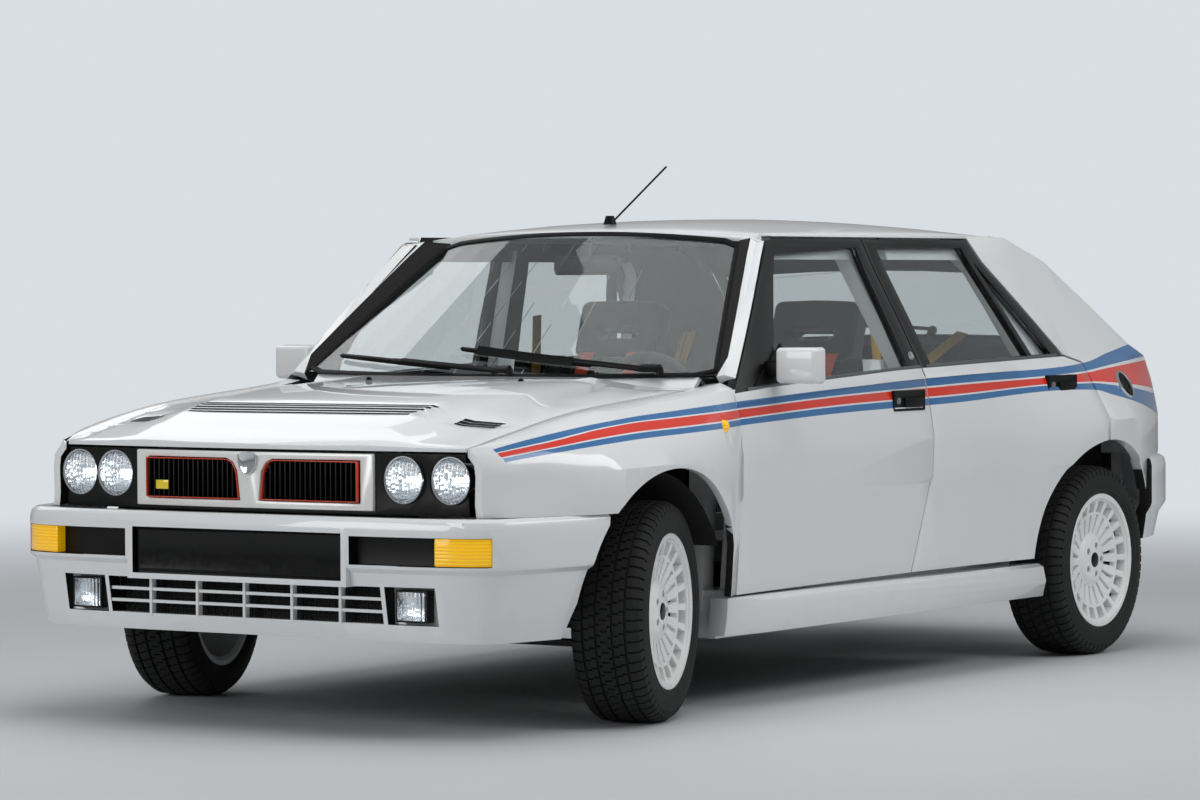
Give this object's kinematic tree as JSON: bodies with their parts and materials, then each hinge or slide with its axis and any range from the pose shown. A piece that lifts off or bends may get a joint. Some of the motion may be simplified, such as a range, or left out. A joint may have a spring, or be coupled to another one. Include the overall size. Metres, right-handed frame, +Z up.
{
  "type": "rally hatchback car",
  "caption": "Boxy five-door rally hatchback with flared arches, round twin headlamps, striped sides, opening doors and lids, and front wheels parked part turned.",
  "frame": {"origin": "ground level, midway between the bumpers and between the sides", "axes": "-Y towards the front, +X to the car's left, +Z up"},
  "size_m": [1.8774, 3.9, 1.5087],
  "materials": {
    "body_paint": "gloss white",
    "black_trim": "satin",
    "window_glass": "clear",
    "lamp_glass": "clear, ribbed",
    "amber_lens": "gloss",
    "red_lens": "gloss",
    "rim_paint": "gloss white",
    "tyre_rubber": "matte",
    "underbody": "satin black",
    "bare_steel": "brushed",
    "engine_metal": "cast",
    "seat_cloth": "woven",
    "dash_plastic": "grained",
    "grille_metal": "satin"
  },
  "bodies": {
    "root": {"floor_pan": "underbody", "front_frame": "underbody", "boot_liner": "underbody", "engine_block": "engine_metal", "body_sides": "body_paint", "roof_panel": "body_paint", "scuttle_panel": "body_paint", "front_wings": "body_paint", "headlamp_panel": "black_trim", "grille_frame": "grille_metal", "headlamps": "lamp_glass", "front_bumper": "body_paint", "front_indicators": "amber_lens", "fog_lamps": "lamp_glass", "side_skirts": "body_paint", "rear_bumper": "body_paint", "rear_panel": "body_paint", "tail_lamps": "red_lens", "windscreen": "window_glass", "dashboard": "dash_plastic", "front_seats": "seat_cloth", "rear_seat": "seat_cloth", "wipers": "black_trim", "aerial": "black_trim", "front_suspension": "underbody", "rear_axle": "underbody", "exhaust": "bare_steel"},
    "bonnet_lid": {"bonnet": "body_paint"},
    "tailgate_lid": {"tailgate": "body_paint", "rear_window": "window_glass", "roof_spoiler": "body_paint"},
    "door_front_left": {"front_door_left": "body_paint", "front_glass_left": "window_glass", "door_mirror_left": "body_paint"},
    "door_front_right": {"front_door_right": "body_paint", "front_glass_right": "window_glass", "door_mirror_right": "body_paint"},
    "door_rear_left": {"rear_door_left": "body_paint", "rear_glass_left": "window_glass"},
    "door_rear_right": {"rear_door_right": "body_paint", "rear_glass_right": "window_glass"},
    "steering": {"steering_wheel": "black_trim"},
    "steer_left": {"front_knuckle_left": "bare_steel"},
    "steer_right": {"front_knuckle_right": "bare_steel"},
    "wheel_front_left": {"rim_front_left": "rim_paint", "tyre_front_left": "tyre_rubber"},
    "wheel_front_right": {"rim_front_right": "rim_paint", "tyre_front_right": "tyre_rubber"},
    "wheel_rear_left": {"rim_rear_left": "rim_paint", "tyre_rear_left": "tyre_rubber"},
    "wheel_rear_right": {"rim_rear_right": "rim_paint", "tyre_rear_right": "tyre_rubber"}
  },
  "joints": [
    {"name": "bonnet_hinge", "type": "hinge", "parent": "root", "child": "bonnet_lid", "pos_m": [0, -0.853, 0.915], "axis": [-1, 0, 0], "range_deg": [0, 60]},
    {"name": "tailgate_hinge", "type": "hinge", "parent": "root", "child": "tailgate_lid", "pos_m": [0, 1.044, 1.326], "axis": [1, 0, 0], "range_deg": [0, 80]},
    {"name": "front_left_door_hinge", "type": "hinge", "parent": "root", "child": "door_front_left", "pos_m": [0.81, -0.738, 0.6], "axis": [0, 0, -1], "range_deg": [0, 68]},
    {"name": "front_right_door_hinge", "type": "hinge", "parent": "root", "child": "door_front_right", "pos_m": [-0.81, -0.738, 0.6], "axis": [0, 0, 1], "range_deg": [0, 68]},
    {"name": "rear_left_door_hinge", "type": "hinge", "parent": "root", "child": "door_rear_left", "pos_m": [0.806, 0.256, 0.6], "axis": [0, 0, -1], "range_deg": [0, 68]},
    {"name": "rear_right_door_hinge", "type": "hinge", "parent": "root", "child": "door_rear_right", "pos_m": [-0.806, 0.256, 0.6], "axis": [0, 0, 1], "range_deg": [0, 68]},
    {"name": "left_steering_axis", "type": "hinge", "parent": "root", "child": "steer_left", "pos_m": [0.735, -1.198, 0.293], "axis": [0, 0, 1], "range_deg": [-51.4, 18.6]},
    {"name": "right_steering_axis", "type": "hinge", "parent": "root", "child": "steer_right", "pos_m": [-0.735, -1.198, 0.293], "axis": [0, 0, 1], "range_deg": [-51.4, 18.6]},
    {"name": "steering_wheel_turn", "type": "hinge", "parent": "root", "child": "steering", "pos_m": [0.35, -0.448, 0.8], "axis": [0, 0.8829, 0.4695], "range_deg": [-719.6, 260.4]},
    {"name": "front_left_wheel_spin", "type": "hinge", "parent": "steer_left", "child": "wheel_front_left", "pos_m": [0.74939, -1.19376, 0.293], "axis": [0.9593, 0.2823, 0], "continuous": true},
    {"name": "front_right_wheel_spin", "type": "hinge", "parent": "steer_right", "child": "wheel_front_right", "pos_m": [-0.7495, -1.20186, 0.293], "axis": [0.9664, 0.2571, 0], "continuous": true},
    {"name": "rear_left_wheel_spin", "type": "hinge", "parent": "root", "child": "wheel_rear_left", "pos_m": [0.75, 1.282, 0.293], "axis": [1, 0, 0], "continuous": true},
    {"name": "rear_right_wheel_spin", "type": "hinge", "parent": "root", "child": "wheel_rear_right", "pos_m": [-0.75, 1.282, 0.293], "axis": [1, 0, 0], "continuous": true}
  ],
  "couplings": [
    {"joint": "right_steering_axis", "follows": "left_steering_axis", "ratio": 1},
    {"joint": "steering_wheel_turn", "follows": "left_steering_axis", "ratio": 14}
  ]
}
